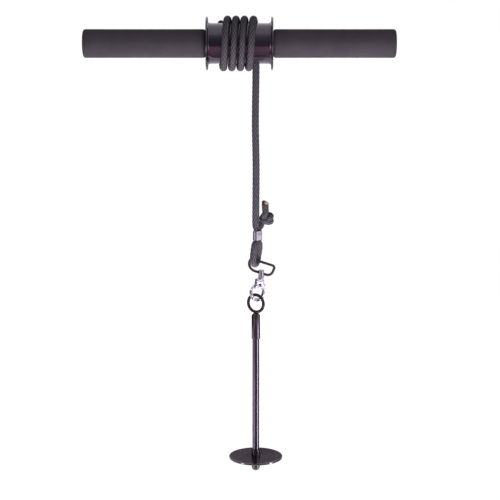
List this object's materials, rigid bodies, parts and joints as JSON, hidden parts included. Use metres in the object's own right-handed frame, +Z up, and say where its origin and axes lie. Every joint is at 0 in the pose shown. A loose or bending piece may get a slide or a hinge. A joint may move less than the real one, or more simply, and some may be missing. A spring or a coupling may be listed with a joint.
{
  "type": "wrist trainer",
  "caption": "Wrist trainer: a foam-gripped bar with a flanged drum that winds a rope, which ends in a knotted, clipped loop, a swivel snap hook and a loading pin with a plate disc.",
  "frame": {"origin": "middle of the bar, on its axis, where the two hands hold it level", "axes": "+X along the bar, +Y away from the side that the rope climbs, +Z up; the load hangs towards -Z"},
  "size_m": [0.34, 0.0868, 0.5227],
  "materials": {
    "foam": "closed-cell foam, matt",
    "black_paint": "gloss black coating",
    "black_wire": "satin black",
    "plug_plastic": "moulded, matt",
    "rope": "braided cord",
    "bright_metal": "bright nickel plate"
  },
  "bodies": {
    "bar": {"bar_tube": "black_paint", "grip_left": "foam", "grip_right": "foam", "end_plug_left": "plug_plastic", "end_plug_right": "plug_plastic", "drum_shell": "black_paint", "flange_left": "black_paint", "flange_right": "black_paint", "rope_turns": "rope", "rope_stop": "bright_metal"},
    "rope_fall": {"rope_fall": "rope"},
    "rope_end": {"rope_loop": "rope", "rope_tail": "rope", "rope_clip": "bright_metal"},
    "wire_loop": {"wire_loop": "black_wire"},
    "swivel_eye": {"swivel_eye": "bright_metal"},
    "hook": {"hook_body": "bright_metal", "swivel_rivet": "bright_metal", "gate_pin": "black_wire", "gate_spring": "bright_metal"},
    "gate": {"gate": "bright_metal"},
    "loading_pin": {"pin_ring": "black_wire", "pin_rod": "black_paint", "pin_sleeve": "black_paint", "pin_collar": "black_paint", "base_disc": "black_paint", "end_cap": "black_paint"}
  },
  "joints": [
    {"name": "rope_wind", "type": "hinge", "parent": "bar", "child": "rope_fall", "pos_m": [0, 0, 0], "axis": [-1, 0, 0], "range_deg": [0, 360]},
    {"name": "load_lift", "type": "slide", "parent": "rope_fall", "child": "rope_end", "axis": [0, 0, 1], "range_m": [0, 0.1638], "deforming": ["rope_fall"]},
    {"name": "loop_swing", "type": "hinge", "parent": "rope_end", "child": "wire_loop", "pos_m": [0.0173, 0.02605, -0.2438], "axis": [0.95, 0, -0.3123], "range_deg": [-6, 60]},
    {"name": "eye_tilt", "type": "hinge", "parent": "wire_loop", "child": "swivel_eye", "pos_m": [0.02416, 0.02929, -0.25974], "axis": [0, 1, 0], "range_deg": [0, 34]},
    {"name": "hook_swivel", "type": "hinge", "parent": "swivel_eye", "child": "hook", "pos_m": [0.02416, 0.02929, -0.2655], "axis": [0, 0, 1], "continuous": true},
    {"name": "gate_open", "type": "hinge", "parent": "hook", "child": "gate", "pos_m": [0.02187, 0.02807, -0.27274], "axis": [0.4695, -0.8829, 0], "range_deg": [0, 18], "stiffness_Nm_per_rad": 0.02, "springref_deg": -20.05, "deforming": ["gate_spring"]},
    {"name": "pin_swing", "type": "hinge", "parent": "hook", "child": "loading_pin", "pos_m": [0.01807, 0.02605, -0.28434], "axis": [0.4695, -0.8829, 0], "range_deg": [-20, 20]}
  ],
  "couplings": [
    {"joint": "load_lift", "follows": "rope_wind", "m_per_rad": 0.02605}
  ]
}
